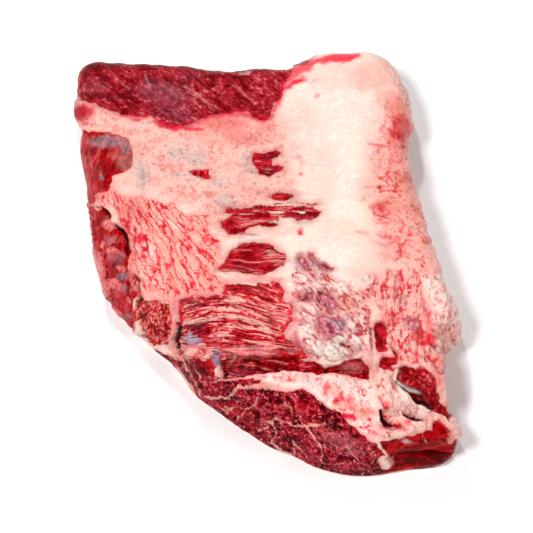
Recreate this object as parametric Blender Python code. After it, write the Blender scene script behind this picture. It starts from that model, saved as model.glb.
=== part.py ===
"""Whole raw beef brisket, boned and lying on its fat cap, as one closed solid.

Metres, +Z up. X runs along the width of the piece and Y from the cut side near
the cook to the thin far end. The origin is the middle of the underside.
"""

import math

import bmesh
import bpy
from mathutils import Vector, noise

MM = 0.001

# Driving sizes
CROWN_HEIGHT = 68 * MM  # the top over the middle of the piece
FALL_ACROSS = 11 * MM  # how much lower the top is at the two long sides
FALL_ALONG = 9 * MM  # and at the far and near ends
TILT_ACROSS = 6 * MM  # the fat side is the thicker one
TILT_ALONG = 4 * MM  # and the far end the thinner one
HALF_WIDTH = 178 * MM
HALF_LENGTH = 214 * MM

# Mesh density: cells of the top sheet and rows of cells down the side
CELLS_ACROSS = 50
CELLS_ALONG = 60
ROWS_UNDER = 2
ROWS_OVER = 5

# The outline, in millimetres: x, y, height of the widest point, how far the top
# edge lies in from it, and how far the foot that touches the table does.
FAR_SIDE = [
    (-175, 208, 25, 13, 10),
    (-166, 212, 26, 14, 11),
    (-147, 212, 27, 16, 12),
    (-108, 207, 29, 16, 12),
    (-68, 201, 30, 16, 12),
    (-34, 195, 31, 18, 12),
    (2, 196, 32, 18, 14),
    (24, 197, 34, 18, 14),
    (43, 207, 36, 20, 14),
    (78, 211, 36, 22, 16),
    (106, 212, 34, 24, 16),
    (126, 203, 32, 24, 16),
]
FAT_SIDE = [
    (126, 203, 32, 24, 16),
    (136, 184, 30, 24, 16),
    (143, 162, 28, 22, 14),
    (144, 129, 28, 22, 14),
    (138, 110, 28, 20, 12),
    (141, 78, 28, 22, 14),
    (147, 37, 28, 22, 14),
    (157, -13, 28, 22, 14),
    (167, -44, 30, 22, 14),
    (176, -70, 30, 22, 14),
    (176, -94, 28, 20, 12),
    (159, -104, 26, 14, 10),
    (160, -115, 25, 14, 8),
    (160, -136, 25, 16, 8),
    (161, -156, 25, 14, 8),
    (166, -169, 23, 14, 8),
    (172, -182, 21, 14, 8),
    (171, -196, 15, 14, 6),
]
CUT_SIDE = [
    (-142, -41, 8, 24, 6),
    (-126, -62, 7, 22, 6),
    (-109, -80, 6, 20, 6),
    (-92, -97, 6, 18, 5),
    (-81, -106, 6, 16, 5),
    (-70, -120, 5, 14, 4),
    (-58, -138, 5, 14, 4),
    (-38, -154, 5, 16, 4),
    (-13, -173, 5, 20, 4),
    (8, -188, 5, 26, 4),
    (30, -197, 5, 31, 4),
    (45, -206, 5, 32, 4),
    (69, -213, 5, 28, 4),
    (96, -215, 5, 20, 4),
    (124, -210, 7, 15, 4),
    (155, -207, 10, 14, 5),
    (171, -196, 15, 14, 6),
]
LEAN_SIDE = [
    (-175, 208, 25, 13, 10),
    (-179, 198, 24, 16, 10),
    (-179, 183, 21, 20, 10),
    (-179, 154, 18, 22, 8),
    (-171, 137, 16, 22, 8),
    (-173, 110, 14, 24, 8),
    (-167, 80, 13, 26, 8),
    (-161, 42, 12, 28, 8),
    (-156, 10, 12, 30, 8),
    (-150, -16, 11, 28, 7),
    (-142, -41, 8, 24, 6),
]

# Ledges: the surface right of the line, walking from its first point, is lower.
# Drop, softness of the edge, fade past the ends, then the line.
LEDGES = [
    # the lean lip that the fat layer has come away from
    (9, 4, 22, [(-139, 40), (-129, 20), (-119, -3), (-112, -35), (-106, -65), (-106, -90)]),
    # the bare muscle of the far end, cut a little below the fat
    (3, 5, 20, [(82, 205), (38, 183), (19, 163), (5, 134), (-52, 131), (-114, 139), (-154, 146)]),
    # the near face of the rounded muscle, down to the seam between the two muscles
    (5, 7, 16, [(-70, -117), (-30, -131), (0, -132), (70, -131), (94, -137)]),
]

LEDGE_REACH = 60 * MM  # over which the lower ground rises again

# Grooves: depth, half width, then the line.
GROOVES = [
    (8, 7, [(-131, 20), (-119, -3), (-112, -35), (-106, -65), (-107, -90)]),
    (7, 7, [(-73, -72), (-70, -87), (-71, -113)]),
    (3, 9, [(-30, -134), (0, -136), (60, -137), (92, -143)]),
    (3, 8, [(97, -70), (97, -97), (100, -140)]),
    (11, 9, [(118, -151), (131, -164), (147, -173), (157, -178)]),
    (5, 7, [(127, -178), (142, -181)]),
    (3, 9, [(-4, -17), (36, -25), (68, -55)]),
]

# Swells and dips: x, y, the two half sizes, turn in degrees, rise (a dip is negative).
SWELLS = [
    (83, 80, 48, 90, 8, 5),  # thick fat over the deckle
    (-77, 3, 48, 60, 30, 3),  # the lobed fat of the middle
    (-22, -100, 50, 24, -4, 4),  # the rounded muscle belly
    (-88, -86, 15, 18, 20, 4),  # the loose block beside it
    (-55, -115, 14, 9, 10, 4),  # the folded flap of fat
    (93, -168, 36, 14, -20, 6),  # the fat ridge above the tip
    (143, -150, 15, 12, -30, 6),  # the lean lump at the tip
    (154, -196, 42, 24, 0, -9),  # the tip itself is thin
    (-118, 172, 70, 40, 0, -3),  # and so is the far end of the lean
    (160, -75, 18, 32, 8, 5),  # the knob of hard fat
    (150, 0, 14, 26, 5, 3),
    (46, -110, 14, 12, 0, 3),
    (68, -114, 13, 12, 0, 3),
    (105, -105, 7, 13, 20, -5),  # torn openings beside the seam
    (111, -130, 9, 8, 0, -4),
    (113, -185, 11, 6, 0, -5),
    (134, 110, 9, 10, 0, -4),
    (9, 76, 16, 8, 0, -2),
    (9, 17, 36, 9, 4, -2),
    (-4, -31, 28, 12, 0, -2),
]

# Broad unevenness of the flesh: rise, and the size of one wave.
WAVES = [(2.8 * MM, 80 * MM), (1.8 * MM, 34 * MM)]
WAVE_START = Vector((7.3, 1.9, 4.4))  # any place in the noise
SIDE_BULGE = 1.6  # share of the waves that the sides take

# The near tip is thin and folded on itself, with a deep crease round the roll.
TIP_ACROSS = (100 * MM, 20 * MM)  # where the roll starts, and how softly
TIP_ALONG = (-188 * MM, 12 * MM)
TIP_CORNER = (150 * MM, 20 * MM)  # past this the crease runs round the end
CREASE_HEIGHT = 21 * MM
CREASE_HALF = 6 * MM
CREASE_DEPTH = 6 * MM
CREASE_DEPTH_END = 3 * MM

CURVE_STEPS = 12  # rows of numbers for each span of the outline
EVENING_PASSES = 6  # of the inward directions round the corners

LEAN_RED = (0.29, 0.025, 0.035, 1.0)


def smoothstep(value):
    """0 to 1, with no slope at either end."""
    t = min(1.0, max(0.0, value))
    return t * t * (3 - 2 * t)


def through(points, steps):
    """A Catmull-Rom curve through rows of numbers, `steps` rows for each span."""
    rows = []
    last = len(points) - 1
    for k in range(last):
        before, start = points[max(k - 1, 0)], points[k]
        end, after = points[k + 1], points[min(k + 2, last)]
        for i in range(steps):
            t = i / steps
            rows.append(
                [
                    0.5 * (2 * q + (r - p) * t + (2 * p - 5 * q + 4 * r - s) * t * t
                           + (3 * q - p - 3 * r + s) * t**3)
                    for p, q, r, s in zip(before, start, end, after)
                ]
            )
    rows.append(list(points[last]))
    return rows


def evenly(rows, count):
    """`count` + 1 rows spaced evenly along the curve's plan length."""
    lengths = [0.0]
    for a, b in zip(rows, rows[1:]):
        lengths.append(lengths[-1] + math.hypot(b[0] - a[0], b[1] - a[1]))
    found, k = [], 0
    for i in range(count + 1):
        want = lengths[-1] * i / count
        while k < len(rows) - 2 and lengths[k + 1] < want:
            k += 1
        t = (want - lengths[k]) / (lengths[k + 1] - lengths[k])
        found.append([a + (b - a) * t for a, b in zip(rows[k], rows[k + 1])])
    return found


def side_rows(points, count):
    """One side of the outline, in metres, with the inward direction at each row."""
    rows = evenly(through([[v * MM for v in row] for row in points], CURVE_STEPS), count)
    made = []
    for i, row in enumerate(rows):
        a, b = rows[max(i - 2, 0)], rows[min(i + 2, count)]
        along = Vector((b[0] - a[0], b[1] - a[1], 0)).normalized()
        made.append((row, along))
    return made


def to_line(x, y, line):
    """(distance, side, share past the ends) from a point to a line of points in mm."""
    best = (1e9, 0.0, 0.0)
    for k in range(len(line) - 1):
        (ax, ay), (bx, by) = line[k], line[k + 1]
        ax, ay, bx, by = ax * MM, ay * MM, bx * MM, by * MM
        dx, dy = bx - ax, by - ay
        t = ((x - ax) * dx + (y - ay) * dy) / (dx * dx + dy * dy)
        past = 0.0
        if k == 0 and t < 0:
            past = -t * math.hypot(dx, dy)
        if k == len(line) - 2 and t > 1:
            past = (t - 1) * math.hypot(dx, dy)
        t = min(1.0, max(0.0, t))
        px, py = x - ax - dx * t, y - ay - dy * t
        away = math.hypot(px, py)
        if away < best[0]:
            best = (away, dx * py - dy * px, past)
    return best


def top_height(x, y):
    """Height of the upper surface over a point of the table."""
    across, along = x / HALF_WIDTH, y / HALF_LENGTH
    height = CROWN_HEIGHT - FALL_ACROSS * across**2 - FALL_ALONG * along**2
    height += TILT_ACROSS * across - TILT_ALONG * along
    for sx, sy, rx, ry, turn, rise in SWELLS:
        c, s = math.cos(math.radians(turn)), math.sin(math.radians(turn))
        dx, dy = x - sx * MM, y - sy * MM
        u, v = (dx * c + dy * s) / (rx * MM), (dy * c - dx * s) / (ry * MM)
        height += rise * MM * math.exp(-(u * u + v * v))
    for drop, soft, fade, line in LEDGES:
        away, side, past = to_line(x, y, line)
        signed = math.copysign(away, -side)
        step = smoothstep(0.5 + signed / (2 * soft * MM))
        ends = 1 - smoothstep(past / (fade * MM))
        reach = 1 - smoothstep((away - LEDGE_REACH / 3) / LEDGE_REACH)
        height -= drop * MM * step * ends * reach
    for depth, half, line in GROOVES:
        away = to_line(x, y, line)[0]
        height -= depth * MM * math.exp(-((away / (half * MM)) ** 2))
    return height + unevenness(x, y, 0.0)


def unevenness(x, y, z):
    """The broad waves of soft flesh."""
    return sum(
        rise * noise.noise(Vector((x, y, z)) / size + WAVE_START)
        for rise, size in WAVES
    )


def perimeter():
    """The outline as the top sheet's border walks it: {(column, row): (row values, inward)}."""
    found = {}
    last_column, last_row = CELLS_ACROSS, CELLS_ALONG
    for i, (row, along) in enumerate(side_rows(CUT_SIDE, last_column)):
        found.setdefault((i, 0), []).append((row, Vector((-along.y, along.x, 0))))
    for i, (row, along) in enumerate(side_rows(FAR_SIDE, last_column)):
        found.setdefault((i, last_row), []).append((row, Vector((along.y, -along.x, 0))))
    for i, (row, along) in enumerate(side_rows(LEAN_SIDE, last_row)):
        found.setdefault((0, last_row - i), []).append((row, Vector((-along.y, along.x, 0))))
    for i, (row, along) in enumerate(side_rows(FAT_SIDE, last_row)):
        found.setdefault((last_column, last_row - i), []).append(
            (row, Vector((along.y, -along.x, 0)))
        )
    border = {}
    for place, seen in found.items():
        inward = sum((normal for _, normal in seen), Vector()).normalized()
        border[place] = (seen[0][0], inward)
    return border


def walk(border):
    """The border's places in order round the sheet."""
    c, r = CELLS_ACROSS, CELLS_ALONG
    ring = [(i, 0) for i in range(c)] + [(c, j) for j in range(r)]
    ring += [(i, r) for i in range(c, 0, -1)] + [(0, j) for j in range(r, 0, -1)]
    return [place for place in ring if place in border]


def smoothed_inward(border):
    """The inward directions evened out round the corners."""
    ring = walk(border)
    inward = {place: border[place][1] for place in ring}
    for _ in range(EVENING_PASSES):
        inward = {
            place: (inward[ring[k - 1]] + 2 * inward[place] + inward[ring[(k + 1) % len(ring)]])
            .normalized()
            for k, place in enumerate(ring)
        }
    return inward


def side_point(row, inward, level):
    """A point of the side: level 0 is the foot, ROWS_UNDER the widest point, and the top
    row is the edge of the upper surface."""
    x, y, belly, run, tuck = row
    if level < ROWS_UNDER:
        turn = math.pi / 2 * (1 - level / ROWS_UNDER)
        inset, z = tuck * (1 - math.cos(turn)), belly * (1 - math.sin(turn))
        return Vector((x, y, 0)) + inward * inset + Vector((0, 0, z))
    turn = math.pi / 2 * (level - ROWS_UNDER) / ROWS_OVER
    inset = run * (1 - math.cos(turn))
    brow = top_height(x + inward.x * run, y + inward.y * run)
    z = belly + (brow - belly) * math.sin(turn)
    bulge = SIDE_BULGE * unevenness(x, y, z) * math.sin(2 * turn)
    return Vector((x, y, 0)) + inward * (inset - bulge) + Vector((0, 0, z))


def tip_roll(point):
    """At the near tip the thin end is folded on itself: a deep crease runs round it."""
    across = smoothstep((point.x - TIP_ACROSS[0]) / TIP_ACROSS[1])
    along = smoothstep((TIP_ALONG[0] - point.y) / TIP_ALONG[1])
    corner = smoothstep((point.x - TIP_CORNER[0]) / TIP_CORNER[1])
    crease = across * along * math.exp(-(((point.z - CREASE_HEIGHT) / CREASE_HALF) ** 2))
    point.y += CREASE_DEPTH * crease
    point.x -= CREASE_DEPTH_END * crease * corner
    return point


def coons(border_points, i, j):
    """The point of a sheet stretched between its four border curves."""
    a, b = i / CELLS_ACROSS, j / CELLS_ALONG
    near, far = border_points[(i, 0)], border_points[(i, CELLS_ALONG)]
    left, right = border_points[(0, j)], border_points[(CELLS_ACROSS, j)]
    corner = {
        (p, q): border_points[(p * CELLS_ACROSS, q * CELLS_ALONG)]
        for p in (0, 1)
        for q in (0, 1)
    }
    ruled = near * (1 - b) + far * b + left * (1 - a) + right * a
    return ruled - (
        corner[0, 0] * (1 - a) * (1 - b)
        + corner[1, 0] * a * (1 - b)
        + corner[0, 1] * (1 - a) * b
        + corner[1, 1] * a * b
    )


def block_of_cells():
    """A flat grid pulled up row by row into a block whose vertices sit on whole numbers:
    (column, row, level)."""
    bm = bmesh.new()
    bmesh.ops.create_grid(bm, x_segments=CELLS_ACROSS, y_segments=CELLS_ALONG, size=0.5)
    for v in bm.verts:
        v.co.x = round((v.co.x + 0.5) * CELLS_ACROSS)
        v.co.y = round((v.co.y + 0.5) * CELLS_ALONG)
    sheet = bm.faces[:]
    for _ in range(ROWS_UNDER + ROWS_OVER):
        pulled = bmesh.ops.extrude_face_region(bm, geom=sheet, use_keep_orig=False)["geom"]
        lifted = [g for g in pulled if isinstance(g, bmesh.types.BMVert)]
        bmesh.ops.delete(bm, geom=sheet, context="FACES_ONLY")
        bmesh.ops.translate(bm, verts=lifted, vec=(0, 0, 1))
        sheet = [g for g in pulled if isinstance(g, bmesh.types.BMFace)]
    return bm


def close_underside(bm):
    """One flat face across the foot, which is what the meat lies on."""
    rim = [e for e in bm.edges if e.is_boundary]
    bmesh.ops.contextual_create(bm, geom=rim)


def shape(bm):
    """Moves every vertex from its cell number to its place on the brisket."""
    border = perimeter()
    inward = smoothed_inward(border)
    top = ROWS_UNDER + ROWS_OVER
    brow = {place: side_point(border[place][0], inward[place], top) for place in border}
    for v in bm.verts:
        i, j, level = (round(c) for c in v.co)
        if (i, j) in border:
            v.co = tip_roll(side_point(border[(i, j)][0], inward[(i, j)], level))
        else:
            flat = coons(brow, i, j)
            v.co = (flat.x, flat.y, top_height(flat.x, flat.y))


def centre(bm):
    """Puts the origin under the middle of the piece, on the table."""
    xs, ys = [v.co.x for v in bm.verts], [v.co.y for v in bm.verts]
    middle = Vector(((min(xs) + max(xs)) / 2, (min(ys) + max(ys)) / 2, 0))
    bmesh.ops.translate(bm, verts=bm.verts, vec=-middle)


def raw_meat():
    """Wet dark red muscle, the look of the bare solid."""
    material = bpy.data.materials.new("raw_beef")
    material.use_nodes = True
    shader = material.node_tree.nodes["Principled BSDF"]
    shader.inputs["Base Color"].default_value = LEAN_RED
    shader.inputs["Roughness"].default_value = 0.4
    shader.inputs["Metallic"].default_value = 0.0
    return material


def make_brisket(collection):
    bm = block_of_cells()
    shape(bm)
    close_underside(bm)
    centre(bm)
    bmesh.ops.recalc_face_normals(bm, faces=bm.faces)
    mesh = bpy.data.meshes.new("brisket")
    bm.to_mesh(mesh)
    bm.free()
    mesh.shade_smooth()
    mesh.set_sharp_from_angle(angle=math.radians(50))
    mesh.materials.append(raw_meat())
    obj = bpy.data.objects.new("brisket", mesh)
    collection.objects.link(obj)
    return obj


def main():
    for obj in list(bpy.data.objects):
        bpy.data.objects.remove(obj)
    collection = bpy.data.collections.new("Beef brisket")
    bpy.context.scene.collection.children.link(collection)
    make_brisket(collection)


main()
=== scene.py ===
import math
import bpy
import numpy as np
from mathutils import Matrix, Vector


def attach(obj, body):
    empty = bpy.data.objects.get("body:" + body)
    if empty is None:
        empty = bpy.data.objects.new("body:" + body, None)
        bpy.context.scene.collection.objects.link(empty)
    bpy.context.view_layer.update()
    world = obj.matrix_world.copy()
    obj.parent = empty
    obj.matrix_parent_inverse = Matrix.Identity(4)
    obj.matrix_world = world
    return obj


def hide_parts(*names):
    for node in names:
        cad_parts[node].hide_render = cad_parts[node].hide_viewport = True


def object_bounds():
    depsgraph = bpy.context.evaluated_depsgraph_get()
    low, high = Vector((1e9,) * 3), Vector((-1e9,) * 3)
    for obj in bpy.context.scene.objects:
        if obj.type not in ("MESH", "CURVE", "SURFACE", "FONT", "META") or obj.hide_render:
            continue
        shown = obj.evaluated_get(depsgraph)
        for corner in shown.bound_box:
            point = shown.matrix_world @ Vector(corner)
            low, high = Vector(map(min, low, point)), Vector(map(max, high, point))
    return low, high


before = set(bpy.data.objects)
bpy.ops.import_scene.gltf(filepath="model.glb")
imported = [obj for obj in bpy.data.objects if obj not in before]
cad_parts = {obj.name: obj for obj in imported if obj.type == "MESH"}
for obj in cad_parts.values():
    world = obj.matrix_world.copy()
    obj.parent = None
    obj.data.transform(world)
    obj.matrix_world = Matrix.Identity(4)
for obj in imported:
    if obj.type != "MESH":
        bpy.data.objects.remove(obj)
cadBox = [list(corner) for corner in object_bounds()]
print("frame loaded")

# the camera looks down on the meat from its cut side
view = {
    "aim": (0.006, -0.011, 0.018),  # metres
    "elevation": 60.0,  # degrees
    "distance": 1.6346,
    "lens": 120.0,
}
tilt = math.radians(view["elevation"])
bpy.ops.object.camera_add()
eye = bpy.context.object
eye.data.lens = view["lens"]
eye.location = Vector(view["aim"]) + view["distance"] * Vector((0, -math.cos(tilt), math.sin(tilt)))
eye.rotation_euler = (math.pi / 2 - tilt, 0, 0)
bpy.context.scene.camera = eye
print("camera placed")

# the slab of meat: the solid's own form, made fine enough to carve
slab = {
    "voxel": 0.00128,  # metres between the points of the carved surface
    "rounding": 4,  # passes that melt the solid's facets
    "softness": 0.5,  # how much each of them does
    "thinBelow": 0.0012,  # the flat underside needs few faces
    "faces": 197000,  # triangles that this thinning aims at
    "most": 195000,  # triangles of the finished meat
    "knee": 0.0044,  # metres below the limit where high lobes start to be pressed down
    "above": 0.0016,  # metres that they may stand over the solid
    "seed": 11,
}
bpy.ops.object.select_all(action="DESELECT")
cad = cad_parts["brisket"]
brisket = bpy.data.objects.new("brisket_meat", cad.data.copy())
bpy.context.collection.objects.link(brisket)
bpy.context.view_layer.objects.active = brisket
brisket.select_set(True)
bpy.ops.object.mode_set(mode="EDIT")
bpy.ops.mesh.select_all(action="SELECT")
bpy.ops.mesh.remove_doubles(threshold=0.00001)
bpy.ops.object.mode_set(mode="OBJECT")


def finishWith(name, kind, settings):
    # adds one modifier and applies it
    modifier = brisket.modifiers.new(name, kind)
    for key, value in settings.items():
        setattr(modifier, key, value)
    bpy.ops.object.modifier_apply(modifier=modifier.name)


finishWith("fine", "REMESH", {"mode": "VOXEL", "voxel_size": slab["voxel"]})
finishWith("melt", "SMOOTH", {"factor": slab["softness"], "iterations": slab["rounding"]})


def readPoints():
    flat = np.empty(len(brisket.data.vertices) * 3)
    brisket.data.vertices.foreach_get("co", flat)
    return flat.reshape(-1, 3)


under = brisket.vertex_groups.new(name="under")
low = np.nonzero(readPoints()[:, 2] < slab["thinBelow"])[0].tolist()
under.add(low, 1.0, "REPLACE")
triangles = sum(len(face.vertices) - 2 for face in brisket.data.polygons)
finishWith("thin", "DECIMATE", {"ratio": slab["faces"] / triangles, "vertex_group": "under"})
print("slab of", len(brisket.data.vertices), "points")

# the sides are folded out into the plan of the top, so that one set of places in
# millimetres covers both: x to the fat edge, y to the far end
fold = {"top": 0.055, "across": 0.725, "along": 0.601}
points = readPoints()
drop = points[:, 2] - fold["top"]
planX = 1000 * points[:, 0] * (1 + fold["across"] * drop)
planY = 1000 * (points[:, 1] + drop * (fold["along"] + fold["across"] * points[:, 1]))
flatNormals = np.empty(len(points) * 3)
brisket.data.vertices.foreach_get("normal", flatNormals)
normals = flatNormals.reshape(-1, 3)

rng = np.random.default_rng(slab["seed"])
order = rng.permutation(256)
slopes = rng.normal(size=(256, 3))
slopes /= np.linalg.norm(slopes, axis=1)[:, None]


def pickFor(cell):
    # one seeded number from 0 to 255 for each cell of space
    x, y, z = (cell & 255).T
    return order[(order[(order[x] + y) & 255] + z) & 255]


def lumps(places):
    # soft gradient noise from -1 to 1, one lump to a unit
    cell = np.floor(places).astype(int)
    part = places - cell
    blend = part**3 * (part * (part * 6 - 15) + 10)
    total = np.zeros(len(places))
    for corner in np.ndindex(2, 2, 2):
        pick = pickFor(cell + corner)
        share = np.where(np.array(corner) == 1, blend, 1 - blend).prod(axis=1)
        total += share * (slopes[pick] * (part - corner)).sum(axis=1)
    return total * 1.5


def cellsOn(places):
    # rounded cells, about one to a unit: how far inside its cell a point is, and a number
    # from 0 to 1 that is the cell's own
    cell = np.floor(places).astype(int)
    first = np.full(len(places), 9.0)
    second = np.full(len(places), 9.0)
    own = np.zeros(len(places))
    for corner in np.ndindex(3, 3, 3):
        at = cell + np.array(corner) - 1
        pick = pickFor(at)
        away = np.linalg.norm(at + 0.5 + 0.42 * slopes[pick] - places, axis=1)
        nearer = away < first
        second = np.where(nearer, first, np.minimum(second, away))
        own = np.where(nearer, pick / 255, own)
        first = np.minimum(first, away)
    return second - first, own


def lumpsOf(size, shift=0.0):
    # the same noise in the round, with lumps of that many millimetres
    return lumps(points * (1000 / size) + shift)


def grainOf(along, across, length, width, shift=0.0):
    # stretched noise on coordinates that follow the flesh
    depth = points[:, 2] * 1000 / (3 * width)
    return lumps(np.stack([along / length, across / width, depth], axis=1) + shift)


def ease(low, high, value):
    part = np.clip((value - low) / (high - low), 0, 1)
    return part * part * (3 - 2 * part)


# the hand of the knife and of tearing: no border runs smooth
waver = {"x": 2.2, "y": 2.0, "fine": 0.9}  # millimetres
wavyX = planX + waver["x"] * lumpsOf(9, 3.1) + waver["fine"] * lumpsOf(3.5, 5.7)
wavyY = planY + waver["y"] * lumpsOf(9, 17.3) + waver["fine"] * lumpsOf(3.5, 29.9)


def patch(corners):
    # millimetres inside a closed outline of x, y corners, negative outside it
    corners = list(zip(corners[::2], corners[1::2]))
    near = np.full(len(points), 1e9)
    inside = np.zeros(len(points), bool)
    for (ax, ay), (bx, by) in zip(corners, corners[1:] + corners[:1]):
        ex, ey = bx - ax, by - ay
        part = np.clip(((wavyX - ax) * ex + (wavyY - ay) * ey) / (ex * ex + ey * ey), 0, 1)
        near = np.minimum(near, np.hypot(wavyX - ax - ex * part, wavyY - ay - ey * part))
        if ey:
            inside ^= ((ay > wavyY) != (by > wavyY)) & (wavyX < ex * (wavyY - ay) / ey + ax)
    return np.where(inside, near, -near)


def strand(line, x=wavyX, y=wavyY, share=1.0, less=0.0):
    # millimetres inside a strand of x, y, half width at each of its points
    stops = [(ax, ay, share * ar - less) for ax, ay, ar in zip(line[::3], line[1::3], line[2::3])]
    best = np.full(len(points), -1e9)
    for (ax, ay, ar), (bx, by, br) in zip(stops, stops[1:]):
        ex, ey = bx - ax, by - ay
        part = np.clip(((x - ax) * ex + (y - ay) * ey) / (ex * ex + ey * ey), 0, 1)
        away = np.hypot(x - ax - ex * part, y - ay - ey * part)
        best = np.maximum(best, ar + (br - ar) * part - away)
    return best


def oval(x, y, halfX, halfY, turn=0.0):
    c, s = math.cos(math.radians(turn)), math.sin(math.radians(turn))
    u = ((wavyX - x) * c + (wavyY - y) * s) / halfX
    v = ((wavyY - y) * c - (wavyX - x) * s) / halfY
    return (1 - np.hypot(u, v)) * min(halfX, halfY)


def allOf(fields):
    return np.maximum.reduce(fields)


# where the muscle shows: the x, y corners of its outlines, in millimetres of the plan
muscle = {
    "far strip": [-190, 149, -176, 150, -158, 146, -143, 139, -130, 133, -115, 131, -102, 131, -96, 124,
     -86, 119, -73, 120, -65, 122, -56, 127, -49, 131, -29, 134, -13, 137, -6, 131, 0, 127, 6, 128,
     11, 136, 14, 147, 20, 155, 21, 164, 25, 172, 29, 181, 33, 190, 46, 194, 60, 215, 60, 260,
     -200, 260],
    "left lip": [-190, 116, -170, 113, -150, 114, -136, 111, -124, 105, -121, 94, -118, 86, -119, 74,
     -127, 67, -138, 63, -136, 56, -141, 48, -152, 42, -150, 34, -140, 30, -136, 20, -129, 9,
     -120, 2, -118, -12, -116, -22, -118, -34, -111, -43, -110, -58, -112, -72, -109, -88,
     -106, -112, -160, -112, -200, 0, -200, 100],
    "left fold": [-76, -98, -60, -97, -40, -104, -33, -113, -33, -130, -60, -130, -74, -118],
    "block": [-108, -58, -100, -68, -93, -67, -80, -70, -78, -84, -77, -96, -80, -112, -92, -112,
     -108, -100, -111, -80],
    "belly": [-72, -67, -60, -63, -46, -65, -34, -62, -30, -51, -10, -49, 18, -49, 20, -56, 21, -66,
     30, -74, 29, -88, 22, -98, 24, -106, 34, -110, 42, -124, 30, -128, -20, -126, -34, -124,
     -40, -108, -50, -106, -62, -100, -72, -102, -72, -84],
    "far window": [-6, 90, 3, 89, 18, 92, 21, 88, 11, 83, 12, 76, 21, 75, 20, 70, 8, 64, 0, 66, -3, 72,
     -7, 80],
    "long window": [-15, 30, 0, 32, 20, 31, 48, 30, 56, 25, 52, 21, 45, 17, 33, 15, 27, 19, 17, 20,
     18, 13, 10, 8, 0, 11, -9, 8, -14, 2, -28, 1, -35, 8, -36, 14, -30, 18, -22, 24],
    "oval window": [-18, -9, -5, -8, 10, -9, 18, -16, 23, -25, 21, -32, 8, -39, 0, -42, -12, -40,
     -25, -38, -38, -37, -34, -30, -30, -25, -28, -18],
    "grey window": [-66, 70, -56, 70, -48, 71, -45, 61, -50, 60, -57, 63, -63, 65],
    "recess": [-34, -126, -10, -123, 14, -120, 30, -124, 45, -129, 58, -133, 70, -132, 77, -126,
     88, -124, 95, -134, 93, -145, 78, -143, 60, -139, 40, -138, 20, -137, 2, -141, -20, -142,
     -36, -138],
    "cut face": [-96, -112, -84, -121, -72, -126, -60, -127, -46, -127, -36, -128, -30, -131, -28, -142,
     -10, -142, 4, -144, 0, -150, 8, -154, 24, -156, 40, -155, 48, -162, 56, -170, 68, -177,
     74, -185, 84, -193, 92, -202, 100, -206, 104, -214, 112, -238, 90, -260, -100, -260,
     -140, -140],
    "tip": [103, -203, 110, -203, 122, -200, 136, -196, 146, -193, 150, -186, 157, -190, 164, -199,
     180, -200, 190, -250, 100, -260, 108, -226, 106, -212],
    "lump": [120, -134, 124, -131, 134, -134, 141, -132, 147, -137, 152, -145, 153, -158, 156, -168,
     164, -178, 161, -184, 152, -180, 146, -172, 136, -168, 130, -163, 124, -156, 118, -148,
     120, -140],
    "hole": [100, -97, 103, -91, 108, -89, 111, -94, 111, -100, 110, -106, 112, -111, 110, -118,
     105, -120, 102, -114, 101, -105],
    "low hole": [104, -126, 107, -122, 112, -124, 119, -122, 120, -130, 115, -133, 117, -137, 105, -136,
     103, -131],
    "wet membrane": [52, -84, 60, -83, 72, -86, 76, -92, 71, -101, 62, -103, 56, -98, 52, -90],
    "torn window": [52, -59, 55, -56, 61, -60, 66, -68, 67, -74, 61, -77, 56, -72, 51, -66],
    "small tear": [42, -57, 46, -58, 47, -66, 40, -68, 34, -65, 33, -62, 40, -63],
    "left eye": [35, -25, 38, -21, 42, -26, 43, -32, 47, -38, 43, -38, 38, -32],
    "right eye": [44, -18, 48, -21, 51, -30, 47, -30, 45, -24],
    "eye tail": [50, -31, 58, -31, 68, -35, 60, -38, 54, -36],
}
membranes = ("wet membrane", "torn window", "small tear", "left eye", "right eye", "eye tail")
# ovals are x, y, half width, half length and a turn in degrees where there is one
muscleOvals = [(20, 41, 11, 4.2, 2), (-24, 27, 8, 3, 12), (112, -189, 9, 3.4, -4),
    (74, -112, 5, 1.4, -25)]
muscleStrands = [
    (12, 33, 0.7, 30, 35, 0.9, 54, 34, 0.5),
    (105, -176, 0.8, 106, -184, 1.8, 110, -188, 1.5),
    (124, -179, 0.8, 133, -181, 2.2, 144, -185, 0.8),
    (113, -112, 0.6, 117, -117, 1.2, 119, -122, 0.8),
]
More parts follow.
